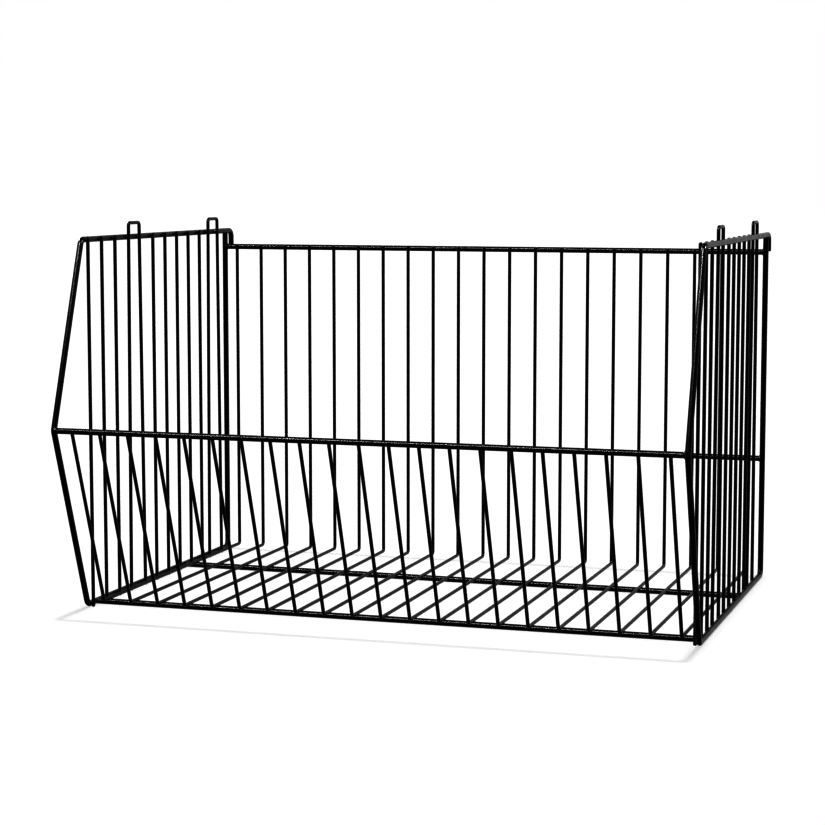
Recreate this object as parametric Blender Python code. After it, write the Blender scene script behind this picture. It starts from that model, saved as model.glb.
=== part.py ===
"""Stackable open-front wire basket, built from bent rods and wires that are welded where they cross.

Two bent rods are the side frames. Five straight rails join them. U-shaped panel wires make the back,
the floor and the slanted lower front. Each side has upright wires and two tall stacking loops.

Metres, +Z up. X runs across the basket and the open front faces -Y. The origin is on the floor,
below the middle of the basket. A profile point is (depth, height): depth counts back from the front
bottom corner of a side frame, and height counts up from the axis of its bottom run.
"""
import math

import bpy
from mathutils import Vector

# Stock: the rod's flats stand at its diameter, the wire's corners at its diameter.
ROD_DIAMETER = 0.0056
WIRE_DIAMETER = 0.0033
ROD_SIDES = 12
WIRE_SIDES = 8
ROD_BEND_RADIUS = 0.007
WIRE_BEND_RADIUS = 0.0032
BEND_STEP = math.radians(24)

# Clearances that keep neighbouring pieces apart.
CROSSING_GAP = 0.00015
BUTT_GAP = 0.0003

# Side frames, between rod axes.
FRAME_SPAN = 0.605
FRAME_HEIGHT = 0.357
POST_DEPTH = 0.360
NOSE_REACH = 0.066
NOSE_HEIGHT = 0.1787
TOP_FRONT_REACH = 0.002
HOOK_REACH = 0.0175
HOOK_DROP = 0.0173

# Rails, between rod axes.
BACK_TOP_RAIL_DROP = 0.0175
BACK_MIDDLE_RAIL_HEIGHT = 0.1235
FLOOR_BACK_RAIL_DEPTH = 0.236
FLOOR_FRONT_RAIL_DEPTH = 0.0195

# Panel wires.
PANEL_WIRE_COUNT = 21
PANEL_WIRE_PITCH = 0.02863
BACK_TIP_RISE = 0.0023
FRONT_TIP_RISE = 0.0015

# Side wires and stacking loops.
SIDE_WIRE_FIRST_DEPTH = 0.0039
SIDE_WIRE_PITCH = 0.03027
SIDE_WIRE_STEPS = (0, 1, 2, 5, 6, 7, 8, 9)
LOOP_DEPTHS = {"front": 0.1094, "back": 0.3138}
LOOP_FOOT_WIDTH = 0.0343
LOOP_TOP_WIDTH = 0.0252
LOOP_RISE = 0.0143

# Finish: black powder coat, a little lighter on the thicker stock.
ROD_COLOUR = (0.016, 0.016, 0.017, 1.0)
WIRE_COLOUR = (0.013, 0.013, 0.014, 1.0)
COAT_ROUGHNESS = 0.42

COLLECTION_NAME = "wire_mesh_container"

# Sizes that follow from the ones above.
ROD_RADIUS = ROD_DIAMETER / 2
WIRE_RADIUS = WIRE_DIAMETER / 2
CROSSING_OFFSET = ROD_RADIUS + WIRE_RADIUS + CROSSING_GAP
HALF_SPAN = FRAME_SPAN / 2
MIDDLE_DEPTH = (POST_DEPTH + HOOK_REACH - NOSE_REACH) / 2
NOSE_SLOPE = math.atan2(NOSE_REACH, NOSE_HEIGHT)


def clear_scene():
    for scene_object in list(bpy.data.objects):
        bpy.data.objects.remove(scene_object)


def make_collection():
    collection = bpy.data.collections.new(COLLECTION_NAME)
    bpy.context.scene.collection.children.link(collection)
    return collection


def coat_material(name, colour):
    material = bpy.data.materials.new(name + "_coat")
    material.use_nodes = True
    shader = material.node_tree.nodes["Principled BSDF"]
    shader.inputs["Base Color"].default_value = colour
    shader.inputs["Roughness"].default_value = COAT_ROUGHNESS
    shader.inputs["Metallic"].default_value = 0.0
    material.diffuse_color = colour
    return material


def profile_point(x, depth, height):
    """World position of a profile point in the upright plane at x."""
    return Vector((x, depth - MIDDLE_DEPTH, height + ROD_RADIUS))


def bent_path(corners, bend_radius):
    """Points of a path through the corners, with each inner corner rounded to the bend radius."""
    points = [corners[0]]
    for before, corner, after in zip(corners, corners[1:], corners[2:]):
        run_in = (corner - before).normalized()
        run_out = (after - corner).normalized()
        turn = run_in.angle(run_out)
        setback = bend_radius * math.tan(turn / 2)
        start = corner - run_in * setback
        inward = (run_out - run_in * run_out.dot(run_in)).normalized()
        steps = max(2, math.ceil(turn / BEND_STEP))
        for step in range(steps + 1):
            angle = turn * step / steps
            along = run_in * math.sin(angle)
            across = inward * (1 - math.cos(angle))
            points.append(start + (along + across) * bend_radius)
    points.append(corners[-1])
    return points


def make_bar(collection, name, points, radius, sides, colour):
    """A round bar along the points, with flats that face along its bend plane's axes."""
    curve = bpy.data.curves.new(name, "CURVE")
    curve.dimensions = "3D"
    curve.fill_mode = "FULL"
    curve.use_fill_caps = True
    curve.bevel_depth = radius
    curve.bevel_resolution = (sides - 4) // 2
    spline = curve.splines.new("POLY")
    spline.points.add(len(points) - 1)
    for spline_point, position in zip(spline.points, points):
        spline_point.co = (*position, 1.0)
        spline_point.tilt = math.pi / sides
    curve.materials.append(coat_material(name, colour))
    collection.objects.link(bpy.data.objects.new(name, curve))


def make_rod(collection, name, corners):
    points = bent_path(corners, ROD_BEND_RADIUS)
    corner_radius = ROD_RADIUS / math.cos(math.pi / ROD_SIDES)
    make_bar(collection, name, points, corner_radius, ROD_SIDES, ROD_COLOUR)


def make_wire(collection, name, corners):
    points = bent_path(corners, WIRE_BEND_RADIUS)
    make_bar(collection, name, points, WIRE_RADIUS, WIRE_SIDES, WIRE_COLOUR)


def make_side_frame(collection, name, x):
    """One bent rod: up the back post from the top end, round the profile and down into the hook."""
    hook_depth = POST_DEPTH + HOOK_REACH
    corners = [
        profile_point(x, POST_DEPTH, FRAME_HEIGHT - ROD_RADIUS - BUTT_GAP),
        profile_point(x, POST_DEPTH, 0.0),
        profile_point(x, 0.0, 0.0),
        profile_point(x, -NOSE_REACH, NOSE_HEIGHT),
        profile_point(x, -TOP_FRONT_REACH, FRAME_HEIGHT),
        profile_point(x, hook_depth, FRAME_HEIGHT),
        profile_point(x, hook_depth, FRAME_HEIGHT - HOOK_DROP),
    ]
    make_rod(collection, name, corners)


def make_rails(collection):
    """Straight rails that butt against the inner faces of the side frames."""
    rails = {
        "back_top_rail": (POST_DEPTH, FRAME_HEIGHT - BACK_TOP_RAIL_DROP),
        "back_middle_rail": (POST_DEPTH, BACK_MIDDLE_RAIL_HEIGHT),
        "floor_back_rail": (FLOOR_BACK_RAIL_DEPTH, 0.0),
        "floor_front_rail": (FLOOR_FRONT_RAIL_DEPTH, 0.0),
        "front_middle_rail": (-NOSE_REACH, NOSE_HEIGHT),
    }
    rail_end = HALF_SPAN - ROD_RADIUS - BUTT_GAP
    for name, (depth, height) in rails.items():
        ends = [profile_point(side * rail_end, depth, height) for side in (-1, 1)]
        make_rod(collection, name, ends)


def make_panel_wires(collection):
    """U-shaped wires: down the back, along the floor on the rails, and up the slanted front."""
    back_depth = POST_DEPTH - CROSSING_OFFSET
    back_tip = FRAME_HEIGHT - BACK_TOP_RAIL_DROP + BACK_TIP_RISE
    slant_shift = CROSSING_OFFSET / math.cos(NOSE_SLOPE)
    front_tip = NOSE_HEIGHT + FRONT_TIP_RISE
    for index in range(PANEL_WIRE_COUNT):
        x = (index - (PANEL_WIRE_COUNT - 1) / 2) * PANEL_WIRE_PITCH
        corners = [
            profile_point(x, back_depth, back_tip),
            profile_point(x, back_depth, CROSSING_OFFSET),
            profile_point(x, slant_shift - CROSSING_OFFSET * math.tan(NOSE_SLOPE), CROSSING_OFFSET),
            profile_point(x, slant_shift - front_tip * math.tan(NOSE_SLOPE), front_tip),
        ]
        make_wire(collection, f"panel_wire_{index + 1:02d}", corners)


def make_side_wires(collection, side_name, x):
    """Upright wires on the inner face of a side frame, flush with its top and its underside."""
    for number, step in enumerate(SIDE_WIRE_STEPS, start=1):
        depth = SIDE_WIRE_FIRST_DEPTH + step * SIDE_WIRE_PITCH
        ends = [
            profile_point(x, depth, -ROD_RADIUS),
            profile_point(x, depth, FRAME_HEIGHT + ROD_RADIUS),
        ]
        make_wire(collection, f"side_wire_{side_name}_{number}", ends)


def make_stacking_loops(collection, side_name, x):
    """Hairpin wires whose closed ends stand above the side frame and locate the basket on top."""
    bar_height = FRAME_HEIGHT + LOOP_RISE
    for loop_name, middle in LOOP_DEPTHS.items():
        corners = [
            profile_point(x, middle - LOOP_FOOT_WIDTH / 2, -ROD_RADIUS),
            profile_point(x, middle - LOOP_TOP_WIDTH / 2, bar_height),
            profile_point(x, middle + LOOP_TOP_WIDTH / 2, bar_height),
            profile_point(x, middle + LOOP_FOOT_WIDTH / 2, -ROD_RADIUS),
        ]
        make_wire(collection, f"stacking_loop_{side_name}_{loop_name}", corners)


def main():
    clear_scene()
    collection = make_collection()
    make_rails(collection)
    make_panel_wires(collection)
    for side_name, side in (("left", -1), ("right", 1)):
        make_side_frame(collection, f"side_frame_{side_name}", side * HALF_SPAN)
        wire_x = side * (HALF_SPAN - CROSSING_OFFSET)
        make_side_wires(collection, side_name, wire_x)
        make_stacking_loops(collection, side_name, wire_x)


main()
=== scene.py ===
"""Looks of the open-front stacking basket: smooth coated rods and wires, and the welds that join them.

Metres, +Z up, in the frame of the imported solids: +X runs across the basket, and its open front faces -Y.
Each packed rod or wire is replaced by a round twin. Each crossing and each rail end gets a weld fillet.
Everything is rigid, so every piece rides on the one body, root.
"""
import math
import random

import bmesh
import bpy
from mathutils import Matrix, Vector


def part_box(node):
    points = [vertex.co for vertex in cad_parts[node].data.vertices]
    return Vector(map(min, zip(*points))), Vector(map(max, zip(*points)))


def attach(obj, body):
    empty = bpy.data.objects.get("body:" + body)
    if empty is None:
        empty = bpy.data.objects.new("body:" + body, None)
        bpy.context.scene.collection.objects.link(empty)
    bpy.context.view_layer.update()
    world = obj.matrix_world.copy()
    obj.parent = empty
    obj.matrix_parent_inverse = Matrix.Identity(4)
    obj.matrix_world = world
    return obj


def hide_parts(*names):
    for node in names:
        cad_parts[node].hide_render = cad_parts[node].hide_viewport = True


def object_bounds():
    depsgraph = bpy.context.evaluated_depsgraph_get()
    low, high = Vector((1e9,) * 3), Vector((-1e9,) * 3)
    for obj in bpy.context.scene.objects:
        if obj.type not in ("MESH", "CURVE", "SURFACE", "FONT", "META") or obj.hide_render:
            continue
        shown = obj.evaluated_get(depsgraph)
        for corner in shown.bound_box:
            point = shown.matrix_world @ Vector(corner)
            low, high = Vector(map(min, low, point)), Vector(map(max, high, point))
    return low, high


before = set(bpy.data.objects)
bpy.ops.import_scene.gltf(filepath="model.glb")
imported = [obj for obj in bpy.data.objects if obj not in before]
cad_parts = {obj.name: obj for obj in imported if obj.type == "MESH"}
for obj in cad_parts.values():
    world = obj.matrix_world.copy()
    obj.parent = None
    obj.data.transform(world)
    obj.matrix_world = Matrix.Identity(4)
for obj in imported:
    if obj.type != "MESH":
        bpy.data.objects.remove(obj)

cad_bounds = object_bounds()

BODY = "root"
SIDES = ("left", "right")

# Stock and bends, as in the solids.
ROD_RADIUS = 0.0028
WIRE_RADIUS = 0.00165
ROD_BEND_RADIUS = 0.007
WIRE_BEND_RADIUS = 0.0032

# How far welding has sunk the wires into the rods. The solids keep a gap there instead.
WIRE_SINK = 0.00015
WIRE_OFFSET = ROD_RADIUS + WIRE_RADIUS - WIRE_SINK

# Places in the side view that no node's box gives.
FRONT_FOOT_Y = -0.15575
FRONT_TOP_Y = -0.15775
HOOK_END_Z = 0.3425
FRONT_TIP_RISE = 0.0015
LOOP_FOOT_WIDTH = 0.0343
LOOP_TOP_WIDTH = 0.0252

# Coat. A scale is a noise pattern's fineness. A range is the part of its values that goes from none to full.
COAT_IOR = 1.5
CLOUD_SCALE = 26.0
CLOUD_RANGE = (0.35, 0.68)
GLOSS_SCALE = 75.0
GLOSS_RANGE = (0.3, 0.7)
COAT_ROUGHNESS = (0.22, 0.34)
DUST_SCALE = 240.0
DUST_RANGE = (0.5, 0.72)
DUST_SLOPE_RANGE = (0.45, 1.0)
DUST_LEAST = 0.15
DUST_SHARE = 0.35
DUST_SHADE = 0.03
CHIP_SCALE = 900.0
CHIP_RANGE = (0.54, 0.62)
BARE_SHADE = 0.082
BARE_METAL = 0.7
BUMP_STRENGTH = 0.03
PEEL_HEIGHT = 0.00002
GRAIN_SCALE = 3800.0
GRAIN_HEIGHT = 0.000004

# Roundness of the meshes.
ROD_SIDES = 32
WIRE_SIDES = 24
BEND_STEP = math.radians(6)
BEND_LEAST_STEPS = 3

# A sheared and coated end, from its middle outwards: (inset, ring radius), both in bar radii.
TIP_RINGS = ((0.0, 0.45), (0.03, 0.68), (0.11, 0.84), (0.26, 0.95), (0.5, 1.0))

# How far wear reaches from a tip, and from a height that things slide on.
TIP_FADE = 0.006
RUB_DEPTH = 0.0008

# Weld fillets where a wire crosses a rod: half lengths on the rod and on the wire.
WELD_SIDES = 28
WELD_STEPS = 5
WELD_EMBED = 0.00003
FOOT_ALONG_ROD = 0.0019
FOOT_ACROSS_ROD = 0.0017
GRIP_ACROSS_WIRE = 0.00142
GRIP_ALONG_WIRE = 0.0019
WELD_SCATTER = 0.12
WELD_RIPPLE = 0.04
WELD_LOBES = (2, 3, 5)
SCATTER_SEED = 7
WAIST_SHARE = 0.93
GRIP_LIMIT = 0.93
DROP_LIMIT = 0.97

# Welds near the wires' tips are shorter along the wires. In front they also sit further down them.
BACK_TIP_WELD_SHARE = 0.85
FRONT_TIP_WELD_SHARE = 0.6
FRONT_TIP_WELD_SHIFT = 0.0013

# Weld fillets where a rail or post ends on a rod.
BUTT_FOOT_ALONG = 0.0039
BUTT_FOOT_ACROSS = 0.00262
BUTT_HEIGHT = 0.0013

# Stage. A backdrop range runs from dark to white in the direction's y, or from white to dark in its height.
WHITE = 1.0
FLOOR_SIZE = 40.0
FLOOR_SHADE = 0.3
FLOOR_GLOW = 0.77
BACKDROP_TURN = (-0.2, 0.6)
BACKDROP_HEIGHT = (0.5, 0.8)
OVERHEAD_STRENGTH = 2.3
OVERHEAD_ANGLE = math.radians(3.4)
OVERHEAD_PLACE = (0.0, 0.0, 3.0)

# Strip lights: (middle, length in metres, power in watts).
STRIP_WIDTH = 0.3
STRIP_AIM_HEIGHT = 0.2
STRIPS = {
    "front_strip": ((-0.8, -1.9, 2.15), 1.8, 115.0),
    "left_strip": ((-2.2, 0.2, 2.1), 1.6, 75.0),
    "right_strip": ((2.2, 0.2, 2.1), 1.6, 75.0),
}

# Camera.
CAMERA_PLACE = (0.6464, -2.0879, 0.4219)
CAMERA_TILT = math.radians(83.838)
CAMERA_TURN = math.radians(17.635)
CAMERA_LENS = 96.03
SENSOR_WIDTH = 36.0

# The colour sockets of a Mix node, among its sockets for all kinds of data.
COLOUR_A = 6
COLOUR_B = 7
COLOUR_RESULT = 2

scatter = random.Random(SCATTER_SEED)


def middle(node):
    low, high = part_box(node)
    return (low + high) / 2


frame_low, frame_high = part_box("side_frame_left")
frame_x = {side: middle(f"side_frame_{side}").x for side in SIDES}
inward = {"left": Vector((1, 0, 0)), "right": Vector((-1, 0, 0))}
bottom_z = frame_low.z + ROD_RADIUS
top_z = frame_high.z - ROD_RADIUS
hook_y = frame_high.y - ROD_RADIUS
post_y = middle("back_top_rail").y
nose = middle("front_middle_rail")
loop_top = cad_bounds[1].z
slant_up = Vector((0, nose.y - FRONT_FOOT_Y, nose.z - bottom_z)).normalized()
slant_in = Vector((0, slant_up.z, -slant_up.y))
panel_names = sorted(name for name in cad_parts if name.startswith("panel_wire"))
panel_xs = [middle(name).x for name in panel_names]


# Materials


def node_of(tree, kind, **values):
    node = tree.nodes.new(kind)
    for key, value in values.items():
        if key in node.inputs:
            node.inputs[key].default_value = value
        else:
            setattr(node, key, value)
    return node


def noise(tree, place, scale, detail=2.0, roughness=0.5):
    texture = node_of(tree, "ShaderNodeTexNoise", Scale=scale, Detail=detail, Roughness=roughness)
    tree.links.new(place, texture.inputs["Vector"])
    return texture.outputs["Fac"]


def remap(tree, value, low, high, new_low, new_high):
    node = node_of(tree, "ShaderNodeMapRange")
    for key, number in zip(("From Min", "From Max", "To Min", "To Max"), (low, high, new_low, new_high)):
        node.inputs[key].default_value = number
    tree.links.new(value, node.inputs["Value"])
    return node.outputs["Result"]


def times(tree, first, second):
    node = node_of(tree, "ShaderNodeMath", operation="MULTIPLY")
    for socket, value in zip(node.inputs, (first, second)):
        if isinstance(value, float):
            socket.default_value = value
        else:
            tree.links.new(value, socket)
    return node.outputs[0]


def blend_colours(tree, share, first, second):
    node = node_of(tree, "ShaderNodeMix", data_type="RGBA")
    tree.links.new(share, node.inputs["Factor"])
    for socket, colour in zip((node.inputs[COLOUR_A], node.inputs[COLOUR_B]), (first, second)):
        if isinstance(colour, tuple):
            socket.default_value = colour
        else:
            tree.links.new(colour, socket)
    return node.outputs[COLOUR_RESULT]


def grey(level):
    return (level, level, level, 1.0)


def powder_coat(name, deep, pale, peel_scale):
    """Black powder coat: orange peel, fine grain, uneven depth, thin dust on top, worn tips and rub lines."""
    material = bpy.data.materials.new(name)
    material.use_nodes = True
    tree = material.node_tree
    shader = tree.nodes["Principled BSDF"]
    shader.inputs["IOR"].default_value = COAT_IOR
    place = tree.nodes.new("ShaderNodeTexCoord").outputs["Object"]

    clouds = remap(tree, noise(tree, place, CLOUD_SCALE, 4.0), *CLOUD_RANGE, 0.0, 1.0)
    colour = blend_colours(tree, clouds, grey(deep), grey(pale))

    normal = tree.nodes.new("ShaderNodeSeparateXYZ")
    tree.links.new(tree.nodes.new("ShaderNodeNewGeometry").outputs["Normal"], normal.inputs[0])
    facing_up = remap(tree, normal.outputs["Z"], *DUST_SLOPE_RANGE, 0.0, 1.0)
    specks = remap(tree, noise(tree, place, DUST_SCALE, 5.0, 0.7), *DUST_RANGE, DUST_LEAST, 1.0)
    dust = times(tree, times(tree, facing_up, specks), DUST_SHARE)
    colour = blend_colours(tree, dust, colour, grey(DUST_SHADE))

    rubbed = node_of(tree, "ShaderNodeAttribute", attribute_name="wear").outputs["Fac"]
    chips = remap(tree, noise(tree, place, CHIP_SCALE, 6.0, 0.75), *CHIP_RANGE, 0.0, 1.0)
    bare = times(tree, rubbed, chips)
    colour = blend_colours(tree, bare, colour, grey(BARE_SHADE))
    tree.links.new(colour, shader.inputs["Base Color"])
    tree.links.new(times(tree, bare, BARE_METAL), shader.inputs["Metallic"])

    uneven = noise(tree, place, GLOSS_SCALE, 4.0, 0.6)
    roughness = remap(tree, uneven, *GLOSS_RANGE, *COAT_ROUGHNESS)
    tree.links.new(roughness, shader.inputs["Roughness"])

    peel = node_of(tree, "ShaderNodeBump", Strength=BUMP_STRENGTH, Distance=PEEL_HEIGHT)
    tree.links.new(noise(tree, place, peel_scale), peel.inputs["Height"])
    grain = node_of(tree, "ShaderNodeBump", Strength=BUMP_STRENGTH, Distance=GRAIN_HEIGHT)
    tree.links.new(noise(tree, place, GRAIN_SCALE), grain.inputs["Height"])
    tree.links.new(peel.outputs["Normal"], grain.inputs["Normal"])
    tree.links.new(grain.outputs["Normal"], shader.inputs["Normal"])
    return material


rod_coat = powder_coat("rod_powder_coat", deep=0.0045, pale=0.009, peel_scale=620.0)
wire_coat = powder_coat("wire_powder_coat", deep=0.004, pale=0.008, peel_scale=760.0)
weld_coat = powder_coat("weld_powder_coat", deep=0.004, pale=0.007, peel_scale=1100.0)

# The two kinds of bar: radius, bend radius, sides, material, slot.
ROD = (ROD_RADIUS, ROD_BEND_RADIUS, ROD_SIDES, rod_coat, "rod_coat")
WIRE = (WIRE_RADIUS, WIRE_BEND_RADIUS, WIRE_SIDES, wire_coat, "wire_coat")


# Pieces


def finish_piece(name, body_mesh, material, slot, *nodes):
    """Turns a bmesh into a smooth object that rides on the basket and stands for the nodes.

    Only rods are thick enough to throw a shadow that shows on the bright floor.
    """
    bmesh.ops.recalc_face_normals(body_mesh, faces=body_mesh.faces)
    mesh = bpy.data.meshes.new(name)
    body_mesh.to_mesh(mesh)
    body_mesh.free()
    mesh.shade_smooth()
    mesh.materials.append(material)
    piece = bpy.data.objects.new(name, mesh)
    piece.visible_shadow = material is rod_coat
    bpy.context.scene.collection.objects.link(piece)
    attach(piece, BODY)
    if nodes:
        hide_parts(*nodes)


def bridge(body_mesh, rings):
    """Skins a row of rings and closes both ends round their own middles."""
    sides = len(rings[0])
    for lower, upper in zip(rings, rings[1:]):
        for index in range(sides):
            after = (index + 1) % sides
            body_mesh.faces.new((lower[index], lower[after], upper[after], upper[index]))
    for ring in (rings[0], rings[-1]):
        centre = body_mesh.verts.new(sum((vertex.co for vertex in ring), Vector()) / sides)
        for index in range(sides):
            body_mesh.faces.new((ring[index], ring[(index + 1) % sides], centre))


def bent_path(corners, bend_radius):
    """Points of a path through the corners, with each inner corner rounded to the bend radius."""
    points = [corners[0]]
    for before, corner, after in zip(corners, corners[1:], corners[2:]):
        run_in = (corner - before).normalized()
        run_out = (after - corner).normalized()
        turn = run_in.angle(run_out)
        start = corner - run_in * bend_radius * math.tan(turn / 2)
        side = (run_out - run_in * run_out.dot(run_in)).normalized()
        steps = max(BEND_LEAST_STEPS, math.ceil(turn / BEND_STEP))
        for step in range(steps + 1):
            angle = turn * step / steps
            points.append(start + (run_in * math.sin(angle) + side * (1 - math.cos(angle))) * bend_radius)
    points.append(corners[-1])
    return points


def stations(points, radius):
    """(place, direction, ring radius) along a bar, with its softened ends."""
    ends = []
    for tip, neighbour in ((points[0], points[1]), (points[-1], points[-2])):
        inwards = (neighbour - tip).normalized()
        rings = [(tip + inwards * inset * radius, inwards, share * radius) for inset, share in TIP_RINGS]
        rings.append((tip + inwards * TIP_FADE, inwards, radius))
        ends.append(rings)
    bends = []
    for before, point, after in zip(points, points[1:], points[2:]):
        direction = (point - before).normalized() + (after - point).normalized()
        bends.append((point, direction.normalized(), radius))
    last = [(place, -direction, ring) for place, direction, ring in reversed(ends[1])]
    return ends[0] + bends + last


def rub(point, heights):
    """How much a point near one of the heights that things slide on is rubbed, 0 to 1."""
    return max((1 - abs(point.z - height) / RUB_DEPTH for height in heights), default=0.0)


def make_bar(name, corners, stock, heights=()):
    """The round twin of a packed rod or wire: true radius, softened ends, marked wear."""
    radius, bend_radius, sides, material, slot = stock
    points = bent_path(corners, bend_radius)
    runs_across = abs((corners[-1] - corners[0]).x) > radius
    across = Vector((0, 1, 0)) if runs_across else Vector((1, 0, 0))
    body_mesh = bmesh.new()
    wear = body_mesh.verts.layers.float.new("wear")
    rings = []
    for place, direction, ring_radius in stations(points, radius):
        up = across.cross(direction)
        tip_distance = min((place - corners[0]).length, (place - corners[-1]).length)
        tip_wear = max(0.0, 1 - tip_distance / TIP_FADE)
        ring = []
        for index in range(sides):
            angle = math.tau * index / sides
            outwards = across * math.cos(angle) + up * math.sin(angle)
            vertex = body_mesh.verts.new(place + outwards * ring_radius)
            vertex[wear] = min(1.0, max(tip_wear, rub(vertex.co, heights)))
            ring.append(vertex)
        rings.append(ring)
    bridge(body_mesh, rings)
    finish_piece("coated_" + name, body_mesh, material, slot, name)


def make_side_frame(side):
    x = frame_x[side]
    corners = [
        Vector((x, post_y, top_z)),
        Vector((x, post_y, bottom_z)),
        Vector((x, FRONT_FOOT_Y, bottom_z)),
        Vector((x, nose.y, nose.z)),
        Vector((x, FRONT_TOP_Y, top_z)),
        Vector((x, hook_y, top_z)),
        Vector((x, hook_y, HOOK_END_Z)),
    ]
    make_bar(f"side_frame_{side}", corners, ROD, (0.0, top_z + ROD_RADIUS))


def make_rail(name):
    """A rail whose ends reach into the side frames, so that its welds have nothing behind them to show."""
    place = middle(name)
    make_bar(name, [Vector((frame_x[side], place.y, place.z)) for side in SIDES], ROD)


def make_panel_wire(name):
    x = middle(name).x
    back_y = post_y - WIRE_OFFSET
    floor_z = bottom_z + WIRE_OFFSET
    front_line = Vector((x, nose.y, nose.z)) + slant_in * WIRE_OFFSET
    corners = [
        Vector((x, back_y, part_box(name)[1].z)),
        Vector((x, back_y, floor_z)),
        front_line + slant_up * ((floor_z - front_line.z) / slant_up.z),
        front_line + slant_up * ((nose.z + FRONT_TIP_RISE - front_line.z) / slant_up.z),
    ]
    make_bar(name, corners, WIRE)


def make_side_wire(name, side):
    low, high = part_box(name)
    x = frame_x[side] + inward[side].x * WIRE_OFFSET
    y = (low.y + high.y) / 2
    make_bar(name, [Vector((x, y, low.z)), Vector((x, y, high.z))], WIRE)


def make_stacking_loop(name, side):
    x = frame_x[side] + inward[side].x * WIRE_OFFSET
    y = middle(name).y
    bar_z = loop_top - WIRE_RADIUS
    corners = [
        Vector((x, y - LOOP_FOOT_WIDTH / 2, frame_low.z)),
        Vector((x, y - LOOP_TOP_WIDTH / 2, bar_z)),
        Vector((x, y + LOOP_TOP_WIDTH / 2, bar_z)),
        Vector((x, y + LOOP_FOOT_WIDTH / 2, frame_low.z)),
    ]
    make_bar(name, corners, WIRE, (loop_top,))


# Welds


def scattered(length):
    return length * (1 + scatter.uniform(-WELD_SCATTER, WELD_SCATTER))


def drop(offset, radius):
    """How far a round bar's surface lies below its crest, at an offset to the side."""
    reach = min(abs(offset), DROP_LIMIT * radius)
    return radius - math.sqrt(radius * radius - reach * reach)


def weld_collar(body_mesh, origin, out, along, foot_at, grip_at):
    """A concave fillet between two bars. foot_at and grip_at give its edge, as (along, across, out)."""
    across = out.cross(along)
    phase = scatter.uniform(0, math.tau)
    lobes = scatter.choice(WELD_LOBES)
    rings = [[] for _ in range(WELD_STEPS + 1)]
    for index in range(WELD_SIDES):
        angle = math.tau * index / WELD_SIDES
        ripple = 1 + WELD_RIPPLE * math.sin(lobes * angle + phase)
        foot = foot_at(math.cos(angle) * ripple, math.sin(angle) * ripple)
        grip = grip_at(math.cos(angle) * ripple, math.sin(angle) * ripple)
        waist = [math.copysign(min(abs(a), abs(b)) * WAIST_SHARE, a) for a, b in zip(foot[:2], grip[:2])]
        waist.append((foot[2] + grip[2]) / 2)
        for step, ring in enumerate(rings):
            t = step / WELD_STEPS
            place = [(1 - t) ** 2 * a + 2 * t * (1 - t) * b + t * t * c for a, b, c in zip(foot, waist, grip)]
            vertex = origin + along * place[0] + across * place[1] + out * place[2]
            ring.append(body_mesh.verts.new(vertex))
    bridge(body_mesh, rings)


def crossing_weld(body_mesh, rod_point, along, out, shift=0.0, share=1.0):
    """The weld where a wire lies across a rod. Shift moves it along the wire, share shortens it that way."""
    foot_along = scattered(FOOT_ALONG_ROD)
    foot_across = scattered(FOOT_ACROSS_ROD) * share
    grip_along = min(scattered(GRIP_ACROSS_WIRE), GRIP_LIMIT * WIRE_RADIUS)
    grip_across = scattered(GRIP_ALONG_WIRE) * share

    def foot_at(cosine, sine):
        sideways = shift + foot_across * sine
        return (foot_along * cosine, sideways, -drop(sideways, ROD_RADIUS) - WELD_EMBED)

    def grip_at(cosine, sine):
        rise = drop(grip_along * cosine, WIRE_RADIUS) + WELD_EMBED - WIRE_SINK
        return (grip_along * cosine, shift + grip_across * sine, rise)

    weld_collar(body_mesh, rod_point + out * ROD_RADIUS, out, along, foot_at, grip_at)


def butt_weld(body_mesh, rod_point, along, out):
    """The weld round the end of a rail or post that meets a rod at rod_point."""
    foot_along = scattered(BUTT_FOOT_ALONG)
    height = scattered(BUTT_HEIGHT)
    grip = ROD_RADIUS - WELD_EMBED

    def foot_at(cosine, sine):
        sideways = BUTT_FOOT_ACROSS * sine
        return (foot_along * cosine, sideways, -drop(sideways, ROD_RADIUS) - WELD_EMBED)

    def grip_at(cosine, sine):
        size = math.hypot(cosine, sine)
        return (grip * cosine / size, grip * sine / size, height * size)

    weld_collar(body_mesh, rod_point + out * ROD_RADIUS, out, along, foot_at, grip_at)


def make_rail_welds(name, out, shift=0.0, share=1.0):
    """The welds of one rail: every panel wire that crosses it, and both of its ends."""
    place = middle(name)
    body_mesh = bmesh.new()
    for x in panel_xs:
        crossing_weld(body_mesh, Vector((x, place.y, place.z)), Vector((1, 0, 0)), out, shift, share)
    run = Vector((0, 1, 0)) if place.z < 2 * ROD_RADIUS else Vector((0, 0, 1))
    for side in SIDES:
        butt_weld(body_mesh, Vector((frame_x[side], place.y, place.z)), run, inward[side])
    finish_piece("welds_" + name, body_mesh, weld_coat, "rod_coat")


def leg_places(name):
    """(y on the bottom run, y on the top run) of each wire leg of a side wire or stacking loop."""
    y = middle(name).y
    if name.startswith("side_wire"):
        return [(y, y)]
    rise = (top_z - bottom_z) / (loop_top - WIRE_RADIUS - bottom_z)
    foot = LOOP_FOOT_WIDTH / 2
    top = foot + (LOOP_TOP_WIDTH / 2 - foot) * rise
    return [(y + sign * foot, y + sign * top) for sign in (-1, 1)]


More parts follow.
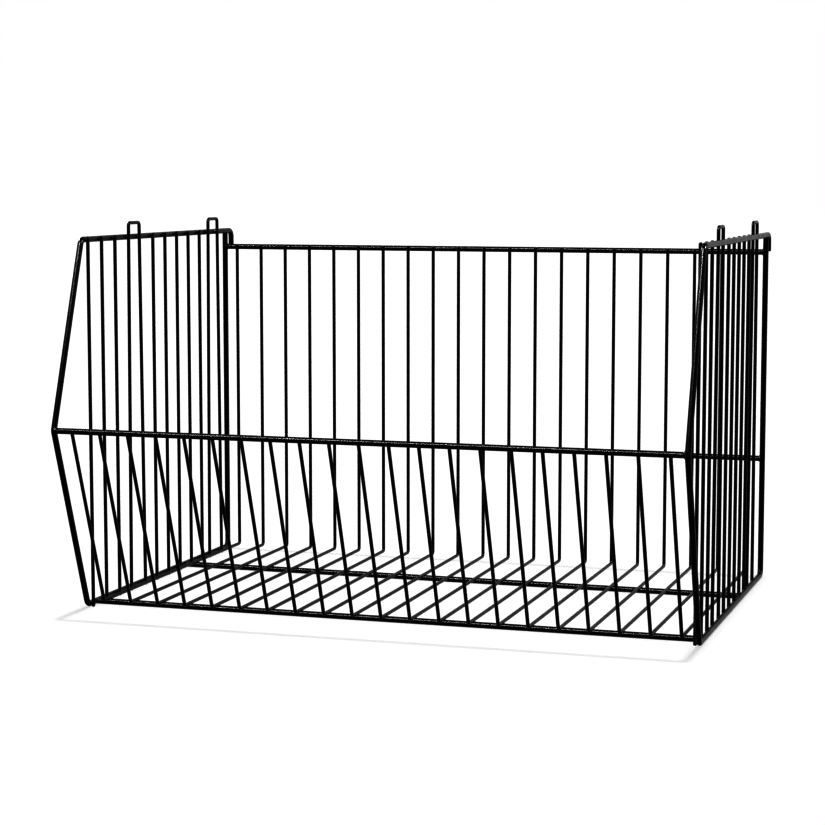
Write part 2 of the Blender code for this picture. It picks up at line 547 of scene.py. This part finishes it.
def make_side_welds(side):
    """The welds of one side frame: its upright wires and loops, and the top of its post."""
    body_mesh = bmesh.new()
    run = Vector((0, 1, 0))
    for name in sorted(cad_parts):
        if not name.startswith((f"side_wire_{side}", f"stacking_loop_{side}")):
            continue
        for low_y, high_y in leg_places(name):
            for y, z in ((low_y, bottom_z), (high_y, top_z)):
                crossing_weld(body_mesh, Vector((frame_x[side], y, z)), run, inward[side])
    butt_weld(body_mesh, Vector((frame_x[side], post_y, top_z)), run, Vector((0, 0, -1)))
    finish_piece(f"welds_side_frame_{side}", body_mesh, weld_coat, "rod_coat")


# Stage


def make_floor():
    """A pale floor that carries faint shadows."""
    bpy.ops.mesh.primitive_plane_add(size=FLOOR_SIZE)
    floor = bpy.context.object
    floor.name = "studio_floor"
    floor.visible_glossy = False
    material = bpy.data.materials.new("studio_floor")
    material.use_nodes = True
    shader = material.node_tree.nodes["Principled BSDF"]
    shader.inputs["Base Color"].default_value = grey(FLOOR_SHADE)
    shader.inputs["Roughness"].default_value = 1.0
    shader.inputs["Specular IOR Level"].default_value = 0.0
    shader.inputs["Emission Color"].default_value = grey(WHITE)
    shader.inputs["Emission Strength"].default_value = FLOOR_GLOW
    floor.data.materials.append(material)


def make_world():
    """White to the eye all round. The coat reflects a bright backdrop behind the basket and a dark front."""
    world = bpy.data.worlds.new("studio")
    bpy.context.scene.world = world
    world.use_nodes = True
    tree = world.node_tree
    tree.nodes.clear()
    direction = tree.nodes.new("ShaderNodeSeparateXYZ")
    tree.links.new(tree.nodes.new("ShaderNodeTexCoord").outputs["Generated"], direction.inputs[0])
    behind = remap(tree, direction.outputs["Y"], *BACKDROP_TURN, 0.0, 1.0)
    height = node_of(tree, "ShaderNodeMath", operation="ABSOLUTE")
    tree.links.new(direction.outputs["Z"], height.inputs[0])
    level = remap(tree, height.outputs[0], *BACKDROP_HEIGHT, 1.0, 0.0)
    around = node_of(tree, "ShaderNodeBackground", Color=grey(WHITE))
    tree.links.new(times(tree, behind, level), around.inputs["Strength"])
    seen = node_of(tree, "ShaderNodeBackground", Color=grey(WHITE), Strength=1.0)
    choose = tree.nodes.new("ShaderNodeMixShader")
    output = tree.nodes.new("ShaderNodeOutputWorld")
    tree.links.new(tree.nodes.new("ShaderNodeLightPath").outputs["Is Camera Ray"], choose.inputs[0])
    tree.links.new(around.outputs[0], choose.inputs[1])
    tree.links.new(seen.outputs[0], choose.inputs[2])
    tree.links.new(choose.outputs[0], output.inputs[0])


def add_lamp(name, kind, energy, place, target):
    light = bpy.data.lights.new(name, kind)
    light.energy = energy
    lamp = bpy.data.objects.new(name, light)
    bpy.context.scene.collection.objects.link(lamp)
    lamp.location = place
    lamp.rotation_euler = (Vector(target) - Vector(place)).to_track_quat("-Z", "Y").to_euler()
    return lamp


def make_lights():
    """A small lamp straight overhead for the thin shadows, and soft strips that draw lines on the bars."""
    overhead = add_lamp("overhead", "SUN", OVERHEAD_STRENGTH, OVERHEAD_PLACE, (0.0, 0.0, 0.0))
    overhead.data.angle = OVERHEAD_ANGLE
    overhead.visible_glossy = False

    for name, (place, length, power) in STRIPS.items():
        sideways = abs(place[0]) > abs(place[1])
        aim = (0.0, place[1], STRIP_AIM_HEIGHT) if sideways else (place[0], 0.0, STRIP_AIM_HEIGHT)
        strip = add_lamp(name, "AREA", power, place, aim)
        strip.data.shape = "RECTANGLE"
        strip.data.size = length
        strip.data.size_y = STRIP_WIDTH
        strip.data.use_shadow = False
        strip.data.cycles.use_multiple_importance_sampling = False
        strip.visible_diffuse = False


def make_camera():
    data = bpy.data.cameras.new("camera")
    data.lens = CAMERA_LENS
    data.sensor_width = SENSOR_WIDTH
    camera = bpy.data.objects.new("camera", data)
    camera.location = CAMERA_PLACE
    camera.rotation_euler = (CAMERA_TILT, 0.0, CAMERA_TURN)
    bpy.context.scene.collection.objects.link(camera)
    bpy.context.scene.camera = camera


def main():
    make_camera()
    for side in SIDES:
        make_side_frame(side)
        for name in sorted(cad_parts):
            if name.startswith(f"side_wire_{side}"):
                make_side_wire(name, side)
            elif name.startswith(f"stacking_loop_{side}"):
                make_stacking_loop(name, side)
        make_side_welds(side)
    for name in panel_names:
        make_panel_wire(name)
    to_front = Vector((0, -1, 0))
    make_rail("back_top_rail")
    make_rail_welds("back_top_rail", to_front, share=BACK_TIP_WELD_SHARE)
    make_rail("back_middle_rail")
    make_rail_welds("back_middle_rail", to_front)
    for name in ("floor_back_rail", "floor_front_rail"):
        make_rail(name)
        make_rail_welds(name, Vector((0, 0, 1)))
    make_rail("front_middle_rail")
    make_rail_welds("front_middle_rail", slant_in, FRONT_TIP_WELD_SHIFT, FRONT_TIP_WELD_SHARE)
    make_floor()
    make_world()
    make_lights()
    # Light goes into the picture as it is, with no tone curve.
    bpy.context.scene.view_settings.view_transform = "Raw"


main()
